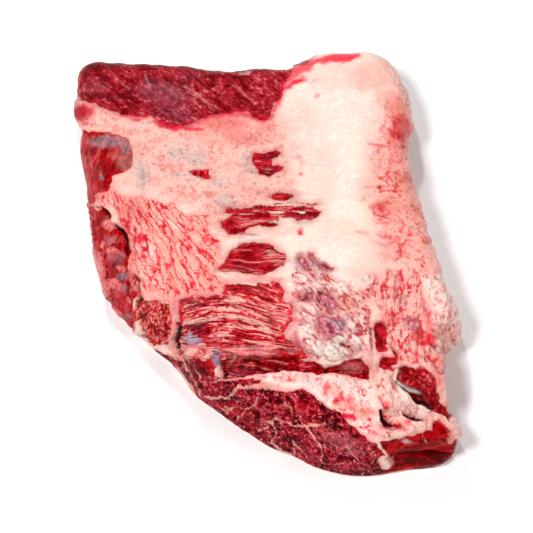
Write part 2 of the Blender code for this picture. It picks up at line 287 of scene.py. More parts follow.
# fat that lies on the muscle, or was left on it
fatPatches = {
    "corner": [-186, 149, -168, 149, -156, 140, -150, 130, -150, 118, -190, 118],
    "spur": [-150, 36, -141, 33, -147, 26, -156, 33],
    "flap": [-67, -116, -58, -112, -48, -111, -43, -116, -42, -126, -48, -127, -57, -122, -62, -125,
     -66, -122],
}
fatOvals = [(-35, -138, 3.6, 6.5, 5), (106, -223, 6.5, 7), (-137, 12, 8, 6), (-147, -32, 7, 20, 12),
    (-133, -16, 6, 4), (-124, -34, 5, 3, -20), (-130, -50, 8, 5, -30), (-138, -56, 6, 8, 20),
    (-126, -80, 7, 3, -40), (-107, -98, 4, 9, 15), (30, -145, 10, 3, 4), (163, -197, 3.5, 9, -10)]
fatStrands = [
    (-14, -3, 1.6, -2, 3, 2, 10, 4, 2.2),
    (-12, 14, 0.9, 4, 16, 1.2, 16, 15, 0.8),
    (-6, 26, 0.5, 10, 25, 0.6, 40, 26, 0.5),
    (-96, -112, 1.2, -86, -117, 1.6, -76, -121, 2.2, -67, -123, 1.8),
    (-74, -66, 3, -73, -78, 2.4, -71, -88, 1.2),
    (-75, -86, 1.2, -73, -95, 2, -76, -103, 2, -84, -110, 1),
    (-116, -36, 1.6, -113, -46, 2.4, -115, -60, 1.2),
    (-163, 44, 2, -160, 28, 2.4, -156, 8, 2.2, -152, -8, 2.4),
    (-74, -134, 1.5, -68, -142, 3, -62, -154, 4, -57, -164, 4, -48, -172, 1.5),
    (-42, -147, 0.9, -30, -146, 1.2, -20, -145, 1.3, -8, -143.5, 1.5, 2, -145, 2),
    (-28, -163, 1, -22, -157, 1.6, -18, -152, 2, -8, -152, 2.2, 2, -152, 2.4, 12, -151, 2.6),
    (-46, -161, 1, -37, -163, 1.6, -26, -163, 1.2),
    (-66, -128, 0.8, -62, -137, 0.9, -56, -147, 1, -50, -162, 1),
    (-57, -131, 0.8, -54, -138, 0.8, -51, -143, 0.6),
    (-29, -171, 0.8, -25, -174, 0.8, -18, -171, 0.7, -14, -174, 0.8, -8, -173, 0.8, -4, -169, 0.8,
     -2, -162, 0.8),
    (-32, -171, 0.7, -27, -179, 0.8),
    (-13, -177, 0.8, -20, -185, 0.7),
    (3, -186, 0.8, 9, -187, 1.2, 14, -182, 0.8),
    (14, -180, 0.9, 19, -185, 1.2, 28, -187, 1.3, 38, -190, 1.4, 50, -187, 1.4),
    (40, -190, 1.2, 46, -199, 1, 52, -210, 1, 52, -222, 0.9),
    (11, -187, 1, 13, -196, 0.8, 11, -207, 1.4),
    (28, -203, 0.7, 29, -216, 0.7),
    (30, -206, 0.6, 39, -218, 0.7),
    (22, -166, 0.6, 29, -180, 0.6),
    (52, -164, 0.9, 58, -170, 0.8, 63, -175, 0.7),
    (62, -205, 0.7, 66, -212, 0.6),
    (72, -207, 0.7, 84, -223, 0.7),
    (0, -196, 0.7, 7, -190, 0.8),
    (10, -206, 1.2, 18, -213, 2, 27, -217, 1.4),
    (102, -209, 0.8, 106, -214, 1.4, 108, -220, 2.4),
    (139, -197, 0.8, 141, -203, 1, 142, -208, 0.4),
    (110, -110, 1.4, 114, -116, 2.2, 112, -121, 1.8),
    (49, -58, 1.6, 48, -68, 1.6, 50, -80, 2),
]
lean = allOf([patch(corners) for corners in muscle.values()]
             + [oval(*spot) for spot in muscleOvals] + [strand(line) for line in muscleStrands])
fatOn = allOf([patch(corners) for corners in fatPatches.values()]
              + [oval(*spot) for spot in fatOvals]
              + [strand(line, share=0.8, less=0.1) for line in fatStrands])
lean = np.minimum(lean, -fatOn)
onLip = ease(-1, 1, patch(muscle["left lip"]))
lipPatches = 9 * lumpsOf(11, 31.7) + 5 * lumpsOf(5, 2.6) - 4.0
lean = np.where(onLip * (planY < 34) > 0.5, np.minimum(lean, -lipPatches), lean)
# the fat cap closes the underside and shows a little way up every side
farSide = ease(-60, 120, 1000 * points[:, 1] + 0.6 * 1000 * points[:, 0])
capTop = 1.0 + 3 * lumpsOf(30, 8.8) + 1.5 * lumpsOf(8, 2.2) + 11 * farSide
lean = np.minimum(lean, 1000 * points[:, 2] - capTop)
cap = ease(2.6, 1.4, 1000 * points[:, 2])  # the underside, too sparse in points for detail of its own
lean = np.clip(lean + cap * (-12 - lean), -12, 12)
isFat = ease(-1.2, 1.2, -lean)
isLean = 1 - isFat
print("muscle and fat laid out")

# the regions, each from 0 to 1: where its border starts and ends in millimetres, how ragged
# that border is, its corners
ragged = 9 * lumpsOf(30, 15.3) + 4 * lumpsOf(11, 2.9)
regions = {
    "onCut": (-2, 2, 0, [-100, -112, -60, -124, -38, -142, 20, -150, 48, -160, 76, -186, 100, -206,
     112, -260, -120, -260]),
    "onBlock": (-1, 1, 0, [-110, -58, -78, -66, -76, -112, -112, -112]),
    "onFar": (-2, 2, 0, [-200, 118, 30, 118, 40, 170, 70, 230, -200, 260]),
    "onBelly": (-2, 2, 0, [-80, -60, -30, -46, 30, -44, 60, -80, 60, -128, -80, -126]),
    "onRecess": (-1, 1, 0, [-40, -126, 0, -121, 40, -126, 100, -118, 104, -148, 20, -140, -40, -144]),
    "onWindows": (-6, 0, 0, [-44, 96, 62, 96, 62, 0, 30, -46, -44, -44]),
    "lobed": (-12, 4, 1, [-150, 40, -128, 46, -100, 40, -70, 30, -50, 18, -42, 4, -30, -6, -34, -20,
     -42, -36, -36, -52, -60, -62, -80, -68, -108, -58, -112, -30, -118, 0, -134, 26]),
    "middle": (-14, 12, 1, [-186, 150, -60, 136, 14, 140, 34, 100, 30, 50, -10, 30, -40, 10, -70, 30,
     -100, 42, -150, 50, -180, 110]),
    "rim": (-20, 18, 1, [118, 150, 124, 190, 150, 230, 210, 230, 210, -150, 152, -122, 140, -48,
     118, -30, 100, -6, 98, 20, 92, 50, 104, 100]),
    "columns": (-8, 8, 0.7, [84, -40, 130, -30, 150, -40, 148, -70, 156, -104, 170, -124, 172, -180,
     156, -180, 150, -136, 118, -128, 110, -116, 104, -84, 84, -66]),
    "knob": (-4, 4, 0, [146, -46, 158, -40, 210, -40, 210, -119, 152, -118, 150, -90]),
    "torn": (-7, 7, 0.7, [30, -14, 60, -22, 70, -40, 88, -56, 104, -70, 104, -136, 92, -142, 88, -126,
     40, -126, 26, -104, 32, -84, 24, -62, 24, -30]),
    "lowFat": (-4, 4, 0, [-40, -140, 20, -136, 96, -142, 106, -136, 108, -200, 96, -204, 70, -182,
     46, -156, 20, -152, -40, -158]),
    "fans": (-4, 4, 0, [96, -122, 116, -126, 122, -150, 134, -166, 170, -176, 190, -196, 164, -206,
     150, -196, 104, -204, 100, -190]),
}
(onCut, onBlock, onFar, onBelly, onRecess, onWindows, lobed, middle, rim, columns, knob, torn,
 lowFat, fans) = (ease(low, high, rough * ragged + patch(corners))
                  for low, high, rough, corners in regions.values())
onTip = ease(-1, 1, patch(muscle["tip"]))
onLump = ease(-1, 1, patch(muscle["lump"]))
onMembrane = ease(-0.5, 1.5, allOf([patch(muscle[name]) for name in membranes]))
scraps = ease(-1, 1, allOf([patch(fatPatches["flap"]), patch(fatPatches["spur"]),
                            oval(-35, -138, 4, 7), oval(-73, -77, 6, 14)]))
front = ease(-70, -100, planY)
flank = ease(0.45, 0.1, normals[:, 2]) * ease(70, 100, planX) * ease(-126, -116, planY) * (1 - cap)
lobed, middle, rim, columns, knob, torn, lowFat, fans, scraps, front, onLip, onCut, onTip, onFar = (
    share * (1 - cap) for share in (
        lobed, middle, rim, columns, knob, torn, lowFat, fans, scraps, front, onLip, onCut, onTip, onFar))


# how the flesh runs: in each region its own two coordinates, along and across its fibres
def straight(degrees):
    c, s = math.cos(math.radians(degrees)), math.sin(math.radians(degrees))
    return planX * c + planY * s, planY * c - planX * s


def rays(x, y, reach):
    # fibres that spread from one point, true to scale at that reach
    return np.hypot(planX - x, planY - y), np.arctan2(planY - y, planX - x) * reach


def rings(x, y, reach):
    # fibres that bend round one point to their right
    return np.arctan2(y - planY, x - planX) * reach, np.hypot(planX - x, planY - y)


fromTop = planX + 28
arch = np.where(fromTop > 0, 0.42 * (np.sqrt(400 + fromTop**2) - 20), 0.0058 * fromTop**2)
arched = planX, planY + arch * ease(-30, -70, planY) * ease(-126, -96, planY)
flows = [
    (middle, straight(84)), (lobed, rays(-162, 146, 170)), (rim, straight(-10)),
    (columns, straight(84)), (knob, straight(80)), (torn, straight(-50)), (lowFat, straight(-66)),
    (fans, rings(175, -135, 55)), (onWindows * isLean, arched), (onBelly * isLean, arched),
    (onRecess * isLean, straight(-4)), (onBlock, straight(84)), (onLip, straight(72)),
    (onFar * isLean, straight(-40)), (onCut, straight(-56)), (onLump, straight(-44)),
    (onTip, straight(2)), (onMembrane, straight(-50)),
]
alongFibre, acrossFibre = planX.copy(), planY.copy()
for share, (along, across) in flows:
    taken = share * (1 - cap) > 0.5
    alongFibre[taken], acrossFibre[taken] = along[taken], across[taken]
# where two grains meet neither is used, or the jump would show as a line
ends = np.empty(2 * len(brisket.data.edges), dtype=np.int64)
brisket.data.edges.foreach_get("vertices", ends)
ends = ends.reshape(-1, 2)
step = np.hypot(*(way[ends[:, 0]] - way[ends[:, 1]] for way in (alongFibre, acrossFibre)))
leaps = ends[step > 4000 * np.linalg.norm(points[ends[:, 0]] - points[ends[:, 1]], axis=1)]
steady = np.ones(len(points))
steady[leaps.ravel()] = 0
for _ in range(3):
    spread = steady.copy()
    np.minimum.at(spread, ends[:, 0], steady[ends[:, 1]] + 0.25)
    np.minimum.at(spread, ends[:, 1], steady[ends[:, 0]] + 0.25)
    steady = spread
acrossFibre = acrossFibre + (1 - cap) * (2.0 * lumpsOf(21, 6.1) + 0.8 * lumpsOf(8, 9.4))
print("grain laid out")

# how high the flesh swells and how deep it is cut, in millimetres
heights = {
    "swell": 1.2,  # over about 26 mm
    "dimple": 0.5,  # over about 9 mm
    "fatStep": 1.7,  # fat over muscle
    "striated": (1.1, 0.9),  # fibres and bundles where they show best
    "plain": (0.45, 0.6),  # and elsewhere
    "cutBundle": (1.2, 1.6),  # the roundness of a cut bundle, and the step to the next
    "cord": 3.0,  # how far inside its edge a cord is at its full height
    "hole": 2.2,
    "membrane": 1.4,
}
relief = heights["swell"] * lumpsOf(26, 1.3) + heights["dimple"] * lumpsOf(9, 4.2)
relief += heights["fatStep"] * (isFat - 0.5) * (1 - 0.75 * onCut)


def lobesOf(length, width, shift):
    # rounded lobes along the grain: their height, and the creases between them
    noise = np.abs(grainOf(alongFibre, acrossFibre, length, width, shift))
    noise = noise + 0.45 * np.abs(grainOf(alongFibre, acrossFibre, 0.5 * length, 0.5 * width, shift + 3))
    return np.minimum(noise * 1.8, 1.0) ** 0.7, 1 - ease(0.05, 0.26, noise)


# millimetres along and across the grain
sizes = {"longLobe": (30, 9.0), "broadLobe": (24, 15), "bundle": (46, 7.5), "fibre": (30, 3.4)}
longLobes, longCrease = lobesOf(*sizes["longLobe"], 3.1)
broadLobes, broadCrease = lobesOf(*sizes["broadLobe"], 5.3)
bundles = grainOf(alongFibre, acrossFibre, *sizes["bundle"], 8.1)
fibres = grainOf(alongFibre, acrossFibre, *sizes["fibre"], 1.7)
# how deep the lobes are cut; their creases are coloured further down, partly as blood stain and partly as
# painted shade
for share, deepLong, deepBroad in ((lobed, 3.4, 0.8), (rim, 1.2, 2.6), (columns, 4.0, 4.4),
                                   (knob, 1.0, 1.6), (torn, 3.2, 2.8), (lowFat, 2.6, 2.4),
                                   (fans, 3.4, 1.8), (middle, 0.7, 1.2)):
    relief += steady * isFat * share * (deepLong * (longLobes - 0.6) + deepBroad * (broadLobes - 0.6))
striated = np.maximum(onBelly, onWindows)
for share, (fibreHeight, bundleHeight) in ((striated, heights["striated"]),
                                           (1 - striated, heights["plain"])):
    relief += isLean * share * (fibreHeight * fibres + bundleHeight * bundles)
bundleEdge, bundleOwn = cellsOn(np.stack([alongFibre / 14, acrossFibre / 9, points[:, 2] * 90], axis=1))
roundness, stepHeight = heights["cutBundle"]
relief += isLean * np.maximum(onCut, 0.7 * onBlock) * (
    roundness * ease(0.0, 0.4, bundleEdge) + stepHeight * bundleOwn - roundness)
# creases between the lobes of fat: reddened as blood stain and darkened as painted shade
creaseStainAndShade = isFat * allOf([
    lobed * longCrease, 0.8 * rim * broadCrease, 0.4 * rim * longCrease, 0.9 * columns * broadCrease,
    0.9 * columns * longCrease, 0.3 * knob * longCrease, 0.9 * torn * longCrease,
    0.8 * torn * broadCrease, 0.6 * lowFat * longCrease, 0.8 * fans * longCrease,
    0.25 * middle * longCrease,
]) * (1 - 0.6 * flank)
creaseStainAndShade = steady * creaseStainAndShade * (0.3 + 0.7 * ease(-0.3, 0.25, lumpsOf(11, 12.1)))  # not all of them are stained or shaded
lively = allOf([
    lobed, 0.7 * columns, 0.65 * torn, 0.22 * rim, 0.6 * lowFat, 0.55 * fans, 0.15 * knob,
    0.40 * middle, 0.8 * onLip, 0.6 * onCut, 0.6 * onTip, 0.8 * scraps, 0.5 * front,
    0.35 * onWindows, 0.3 * cap])

# lobules that stand out one by one: height, then the oval
lobules = [
    (3.6, 66, -115, 9, 14, -12), (3.4, 51, -118, 3.8, 7.5), (2.6, 39, -57, 7, 5.5),
    (1.6, 38, -44, 8, 6, 10), (2.4, 40, -99, 10, 8), (2, 44, -112, 6, 6), (1.4, 84, -110, 6, 9),
    (1.2, 83, -92, 6, 5), (2.4, 92, -50, 10, 8), (1.6, 84, -66, 6, 5), (3, 116, -69, 6.5, 14),
    (2.4, 107, -66, 3.6, 9, 4), (2.6, 134, -92, 7, 9, 20), (1.8, 120, -44, 8, 7), (1.8, 131, -42, 6, 6),
    (2.4, 144, -66, 3.6, 16, 4), (3.2, 158, -78, 8, 34, 4), (2, 164, -106, 12, 9, 20),
    (2.2, 122, -104, 9, 5, -40), (1.8, 132, -112, 7, 6), (1.2, 76, -70, 7, 8), (1.6, 142, -118, 6, 7),
    (2, -56, -119, 9, 6, 20), (3.4, -35, -138, 3.2, 6, 5), (2.6, 106, -223, 6, 7),
    (1.6, 88, -152, 9, 7, -10), (1.8, 70, -145, 14, 4), (1.6, 88, -186, 8, 5, -10),
    (1.4, 70, -170, 6, 5), (2.4, -107, -98, 4, 9, 15),
]
ring = np.zeros(len(points))
for height, x, y, halfX, halfY, *turn in lobules:
    inside = oval(x, y, halfX, halfY, *turn)
    relief += isFat * height * np.sqrt(np.clip(inside / min(halfX, halfY), 0, 1))
    around = ease(-1.6, -0.2, inside) * ease(1.6, 0.2, inside)
    ring = np.maximum(ring, around * ease(-0.4, 0.3, lumpsOf(7, x)))
# a ring at the foot of each standing lobule joins the creases: painted shade where the lobule meets the
# fat
creaseStainAndShade = np.maximum(creaseStainAndShade, 0.8 * ring * isFat * (1 - cap))
# cords and folds of fat and tendon: height, then x, y, half width along each
cords = [
    (2.2, 101, -62, 1.6, 102, -80, 2, 103, -88, 1.6),
    (2, 93, -80, 2, 93, -100, 2.4, 95, -120, 2.4, 97, -136, 2.4),
    (3.4, 120, -136, 1.4, 117, -145, 2.4, 123, -152, 2.6, 131, -157, 2.2, 137, -160, 1.2),
    (4, 106, -140, 3.6, 112, -152, 4.2, 122, -163, 4.4, 134, -172, 4.2, 146, -177, 4, 156, -187, 4.2,
     166, -197, 4.2),
    (3.2, 106, -196, 3.4, 120, -196, 4.2, 134, -190, 4.2, 146, -186, 3.6),
    (2.6, 110, -152, 1.6, 111, -165, 2.2, 113, -178, 2.6),
    (2, 118, -164, 1.6, 121, -172, 2, 128, -177, 1.6),
    (2, 49, -58, 1.6, 48, -68, 1.6, 50, -80, 2),
    (1.6, -73, -68, 2, -73, -80, 2, -71, -88, 1.2),
    (1.8, -75, -86, 1.2, -73, -95, 2, -76, -103, 2, -84, -110, 1),
    (1.6, -96, -112, 1, -86, -117, 1.4, -76, -121, 1.8, -67, -123, 1.6),
    (1.4, -62, -154, 3, -57, -164, 3),
    (1.6, 40, -143, 1.6, 60, -143, 2, 78, -144, 1.6),
    (1.2, -42, -147, 1.2, -20, -145, 1.4, 0, -144, 1.8),
    (1.4, -26, -161, 1.2, -18, -152, 2, 0, -152, 2.4, 20, -151, 2.4, 40, -151, 2),
    (1, 14, -180, 1, 28, -187, 1.6, 40, -190, 1.6),
    (1.8, 47, -134, 0.8, 52, -135, 1.4, 57, -134, 0.8),
]
for height, *line in cords:
    away = strand(line, planX + 0.8 * lumpsOf(6, 3.3), planY)
    relief += height * np.sqrt(np.clip(away / heights["cord"], 0, 1))
# slits and holes: depth, then x, y, half width along each
slits = [
    (4, -150, 31, 0.6, -141, 27, 1.2, -137, 20, 1),
    (5, -131, 11, 0.8, -125, 5, 1.4, -121, -4, 1.3, -119, -18, 0.5),
    (6.5, -111, -42, 0.8, -108, -48, 1.4, -108, -60, 1.2, -109, -74, 1, -106, -88, 0.5),
    (6, -71, -92, 1, -73, -102, 1.4, -75, -108, 1.6, -73, -116, 1.8),
    (3, -14, 3, 0.8, -7, 1.5, 1.6, 0, 1, 0.8),
    (4.5, -32, -133, 0.8, -29.5, -138, 2, -31, -143, 1),
    (2.4, 102, -96, 1.2, 105, -103, 2, 107, -112, 2),
    (3, 103, -94, 0.8, 107, -91.5, 1.4, 111, -95, 0.8),
    (2, 107, -128, 2, 116, -128, 2),
    (3, 112, -111, 0.8, 117, -117, 1.2, 120, -124, 0.8),
    (7, 118, -150, 1.2, 124, -158, 2.6, 131, -166, 2.8, 140, -170, 2, 148, -174, 1),
    (2.6, 119, -136, 0.8, 123, -131.5, 1.2, 130, -133, 0.8),
    (5, 124, -178.5, 1, 132, -181, 2, 144, -185, 1),
    (5.5, 104, -175, 1, 106, -184, 2.4, 112, -187, 1.8),
    (2.6, 144, -179, 0.6, 150, -186, 1, 158, -194, 1, 162, -198, 0.6),
    (1.6, 132, 99, 0.6, 133, 95, 1, 132, 91, 0.5),
    (1.2, 129, 111, 0.8, 130, 107, 1),
    (4, 106, -219, 0.6, 118, -216.5, 1, 135, -216, 1.3, 150, -216, 1.2, 164, -217, 0.8),
    (2.4, -26, -66, 0.6, -12, -67.5, 1, 0, -69, 0.8, 8, -73, 1.2, 11, -80, 1.2, 11, -88, 0.8),
    (3, 44, -136, 0.8, 51, -139, 1.4, 57.5, -136, 0.8),
    (1.6, -22, -175, 0.6, -8, -176, 1, 6, -178, 1, 12, -182, 0.6),
    (1.6, 52, -167, 0.5, 60, -175, 0.8, 66, -180, 0.5),
    (2, -50, -150, 0.8, -52, -158, 0.8),
    (1.6, 97, -78, 0.7, 96, -92, 1, 97.5, -106, 1, 99, -116, 0.7),
    (2, 105.5, -62, 0.6, 106, -72, 1, 108, -80, 0.8),
    (2.4, 123, -60, 1.6, 126, -62, 1.6, 124, -70, 1.2, 124, -78, 0.8),
    (1.8, 138, -62, 0.6, 139, -72, 1, 141, -80, 0.8),
    (2, 130, -86, 0.8, 134, -82, 1, 140, -84, 0.8),
    (3, 148, -104, 0.8, 152, -112, 1.6, 154, -119, 1.6),
    (2, 70, -110.5, 0.5, 74, -112, 1.2, 78, -114, 0.6),
    (1.6, -79, -38, 0.5, -76, -44, 1, -69, -49, 0.9, -66, -53, 0.5),
    (1.8, -92, -60, 0.7, -86, -63, 1.1, -80, -68, 0.7),
    (2.2, 36, -25, 0.8, 40, -31, 1.2, 45, -37, 0.8),
    (2.2, 46, -20, 0.8, 49, -28, 1),
    (2, 54, -58, 1.2, 60, -60, 1.2, 63, -74, 1.2),
    (2, 43, -58, 0.8, 46, -64, 0.9, 36, -64, 0.9),
    (3, 48, -133, 1, 90, -133, 1),
]
# painted shade: how far each slit and hole is darkened towards near black
slitShade = np.zeros(len(points))
for depth, *line in slits:
    away = strand(line, planX + 0.8 * lumpsOf(5, 3.3), planY)
    relief -= depth * ease(-1.7, 1.2, away)
    slitShade = np.maximum(slitShade, ease(2.0, 5.0, depth) * ease(-0.9, 1.0, away))
    slitShade = np.maximum(slitShade, 0.5 * ease(-0.6, 1.2, away))
holes = allOf([patch(muscle[name]) for name in ("hole", "low hole", "lump", "recess")])
relief -= heights["hole"] * ease(-0.5, 3.0, holes)
relief -= heights["membrane"] * onMembrane

relief *= ease(0.5, 9, 1000 * points[:, 2])
moved = points + normals * (relief / 1000)[:, None]
moved[:, 2] = np.maximum(moved[:, 2], 0)
# the highest lobes are pressed back to the top of the solid
knee = slab["knee"]
over = np.maximum(moved[:, 2] - (cadBox[1][2] + slab["above"] - knee), 0)
moved[:, 2] -= over - knee * (1 - np.exp(-over / knee))
brisket.data.vertices.foreach_set("co", moved.ravel())
print("surface carved")


def linear(code):
    # sRGB hex to linear
    parts = [int(code[i:i + 2], 16) / 255 for i in (1, 3, 5)]
    parts = [p / 12.92 if p <= 0.04045 else ((p + 0.055) / 1.055) ** 2.4 for p in parts]
    return (*parts, 1.0)


# each region's colours: in its hollows, its own, on its crests
muscleTones = [
    (None, ("#94000c", "#cc1826", "#ec5c64")),
    (onFar, ("#74000a", "#b01c2c", "#e87078")),
    (onLip, ("#8c0004", "#c0000e", "#dc2434")),
    (onBlock, ("#800000", "#d41c22", "#ffa498")),
    (onBelly, ("#9c0008", "#e02430", "#ffc0b4")),
    (onRecess, ("#580000", "#b40412", "#e4606a")),
    (onCut, ("#440006", "#9c0418", "#d85060")),
    (onTip, ("#600000", "#c00008", "#c81824")),
    (onLump, ("#680000", "#b40e18", "#f48084")),
    (onMembrane, ("#983048", "#dc8090", "#ffe8ea")),
]
fatTones = [
    (None, ("#f0b6a8", "#f3d9cc", "#ffeee4")),
    (middle, ("#ee8478", "#f8c2b6", "#ffe8dc")),
    (rim, ("#ec3838", "#fcb2a6", "#ffece0")),
    (lobed, ("#f03c44", "#faaa9e", "#ffe6da")),
    (columns, ("#e04448", "#ffbab0", "#ffe8de")),
    (knob, ("#f07a70", "#ffd8cc", "#fff6ee")),
    (torn, ("#cc4854", "#ffdccf", "#fff8f2")),
    (lowFat, ("#fc5c64", "#ffdcd2", "#fffaf0")),
    (fans, ("#e05c54", "#fcc8bc", "#fff0e6")),
    (onLip, ("#c43440", "#f08a84", "#ffd0c2")),
    (scraps, ("#dc605a", "#ffd0c4", "#fff0e6")),
    (onCut, ("#dc7c74", "#ffbcb0", "#ffe2d8")),
    (onTip, ("#d06058", "#eda494", "#f8c8b8")),
    (flank, ("#ec8c82", "#f8ccc0", "#ffece2")),
    (cap, ("#ee9084", "#f8d2c4", "#fff0e4")),
]


def paintRegions(tones):
    layers = [np.tile(linear(code)[:3], (len(points), 1)) for code in tones[0][1]]
    for share, codes in tones[1:]:
        for layer, code in zip(layers, codes):
            layer += share[:, None] * (np.array(linear(code)[:3]) - layer)
    return layers


muscleLayers = paintRegions(muscleTones)
fatLayers = paintRegions(fatTones)

tints = {
    "hollow": 0.6,  # of the colour itself
    "washPower": 0.7,  # under 1 is paler on the crests
    "borderLift": 0.25,  # towards white on the crests
}
# the far wall and the underside are left plain
facing = ease(-0.25, 0.1, 0.87 * normals[:, 2] - 0.5 * normals[:, 1]) * (1 - cap)
grit = 1.6 * lumpsOf(4.5, 13.7) + 0.8 * lumpsOf(2.4, 3.9)


def tint(layers, code, share, power, lift):
    # one colour over the three layers: deeper in the hollows, paler on the crests
    own = np.array(linear(code)[:3])
    crest = own**power
    crest = crest + lift * (1 - crest)
    for layer, tone in zip(layers, (tints["hollow"] * own, own, crest)):
        layer += share[:, None] * (tone - layer)


def wash(layers, code, soft, spots, lines=()):
    # thin colour with a soft border, in ovals or along strands, each after its strength in percent
    share = np.zeros(len(points))
    for percent, *place in spots:
        share = np.maximum(share, percent / 100 * ease(-soft, soft, oval(*place) + grit))
    for percent, *line in lines:
        share = np.maximum(share, percent / 100 * ease(-soft, soft, strand(line) + 0.3 * grit))
    tint(layers, code, share * facing, tints["washPower"], 0.0)


# silverskin, veils and stains on the muscle, with some painted shadow and painted glints
muscleWashes = [
    ("#8a4a5c", 6, [(45, -92, 158, 26, 14, -15), (40, -82, 138, 16, 9, -10), (40, -156, 166, 10, 7),
     (30, -66, 177, 12, 6), (40, -75, 130, 12, 7), (45, -58, -92, 9, 7), (30, -60, -72, 10, 6),
     (40, -35, -104, 9, 4), (40, -18, -137, 10, 5)]),
    ("#b08890", 2, [(80, -142, 103, 18, 7), (75, -124, 96, 6, 8), (50, -135, -4, 5, 4),
     (60, -128, -22, 7, 7), (75, -121, -43, 7, 5), (50, -134, 28, 4, 4), (60, -124, -55, 6, 4),
     (50, -117, -84, 5, 3)]),
    ("#d2706a", 3, [(90, -126, 80, 9, 9), (50, -134, 86, 6, 6)]),
    ("#f0103c", 1.2, [], [
     (90, -100, 125, 1.6, -92, 121, 2, -80, 120, 2.4, -68, 120, 2, -60, 124, 1.6),
     (80, -52, 131, 1.2, -30, 135, 1.6, -14, 137, 2, -4, 130, 1.6, 8, 131, 2),
     (70, 14, 140, 1.2, 19, 154, 1.2, 20, 168, 1.6, 34, 184, 2.4, 50, 200, 2),
     (60, -130, 134, 1.2, -104, 132, 1.2)]),
    ("#a99ab6", 1.5, [(90, -60, -106, 10, 5.5, -6), (85, -38, -122, 4, 9, 8)]),
    ("#c60012", 1.5, [(100, -139, 80, 4, 4), (80, -155, 62, 7, 14), (60, -148, 6, 5, 12),
     (80, -120, 7, 4, 5), (50, -128, -62, 7, 7), (50, -118, -72, 5, 9), (80, 88, -197, 8, 3, -40),
     (60, 0, -58, 18, 4), (50, 4, -24, 16, 5, -8), (40, -20, -175, 14, 6, -20),
     (40, 40, -172, 12, 6, -40)]),
    ("#dc1830", 3, [(60, -124, -70, 8, 10)]),
    ("#e85864", 3, [(50, -132, -22, 6, 10, 10), (15, -126, -62, 6, 8), (30, -142, 14, 4, 8),
     (40, -118, -88, 4, 6), (40, -148, 46, 3, 8)]),
    # deep red-black: the muscle's own dark spots on the left lip and far strip, and painted shadow under
    # the block and the flap, in the recess, beside the lump and on the tip below its crease
    ("#5a0008", 3, [(70, -158, 92, 5, 3), (70, -156, 104, 3, 2.4), (35, -148, 70, 8, 10),
     (50, -140, 20, 5, 8), (60, -131, -30, 4, 6), (80, -80, -122, 18, 4, -14),
     (60, -56, -134, 14, 8, -20), (80, 150, -226, 16, 6), (70, 140, -166, 12, 5, -30),
     (35, 120, -222, 14, 5), (60, 10, -136, 16, 5), (30, 56, -133, 6, 4)], [
     (70, -180, 156, 3, -160, 156, 3, -140, 153, 3, -122, 152, 2)]),
    ("#6e1414", 3, [], [
     (60, -180, 192, 5, -90, 194, 5, -20, 186, 5, 40, 204, 6)]),
    ("#fa8a90", 3, [(75, -10, -118, 24, 7), (50, 80, -133, 9, 4), (50, 30, -114, 8, 6),
     (25, 16, -84, 10, 10), (20, 70, -204, 20, 8, -30), (10, 0, -56, 18, 5)]),
    ("#f8c8bc", 0.8, [], [
     (90, -68, -92, 0.8, -50, -87, 1.2, -30, -83, 1.4, -15, -86, 1.4, 0, -91, 1.2, 9, -97, 0.8),
     (80, -27, -58, 0.6, -24, -63, 0.9, -14, -66, 0.5),
     (80, -26, -71, 0.6, -12, -75, 1, 8, -88, 0.8),
     (60, -20, -121, 0.8, -28, -132, 0.6),
     (50, 14, -112, 0.6, 30, -120, 1)]),
    ("#6a1430", 3, [(60, -60, -70, 10, 4), (60, -56, -92, 10, 4), (50, -40, -66, 12, 3),
     (50, 10, 86, 10, 5), (60, 10, 70, 10, 4), (40, -10, 26, 16, 4, 6), (50, 40, 22, 14, 4),
     (50, -18, -34, 14, 4), (35, 6, -14, 14, 4)]),
    ("#d88c8e", 0.7, [], [
     (70, -73, 166, 1, -60, 158, 1.2, -44, 139, 0.8),
     (50, -29, 171, 0.6, -16, 159, 0.8, -5, 147, 0.8),
     (60, -110, 179, 1.2, -108, 172, 1.6, -105, 165, 1),
     (40, -96, 170, 0.8, -84, 160, 1, -78, 150, 0.8),
     (40, -64, 150, 0.8, -58, 142, 0.8),
     (30, -134, 172, 0.8, -124, 164, 0.8)]),
    ("#7c0010", 2, [], [
     (70, -168, 182, 1.6, -150, 178, 1.6, -140, 168, 1.2),
     (70, -150, 160, 1.2, -128, 158, 1.6, -116, 162, 1.2),
     (60, -60, 176, 1.6, -30, 178, 2, -10, 172, 1.6),
     (60, -52, 166, 1, -36, 156, 1.4, -28, 148, 1),
     (50, -104, 146, 1, -90, 140, 1.4, -80, 132, 1)]),
    ("#f0a8a0", 1.2, [(80, -14, 181, 5, 2), (60, -176, 150, 4, 5)]),
    # pale grey-white specks: painted glints on and by the tip, on the wet membrane and on the left lip
    ("#d9d2da", 1.2, [(80, 125, -204, 4, 1.2, -20), (50, 70, -90, 5, 4), (40, 62, -86, 5, 2),
     (60, 112, -191, 5, 1.2), (60, -147, 64, 1.6, 2.6), (50, -156, 101, 2, 2)]),
    ("#c8c0bc", 1.2, [], [
     (95, 120, -136, 1.2, 117, -145, 2.2, 123, -152, 2.4, 131, -157, 2, 137, -160, 1)]),
]
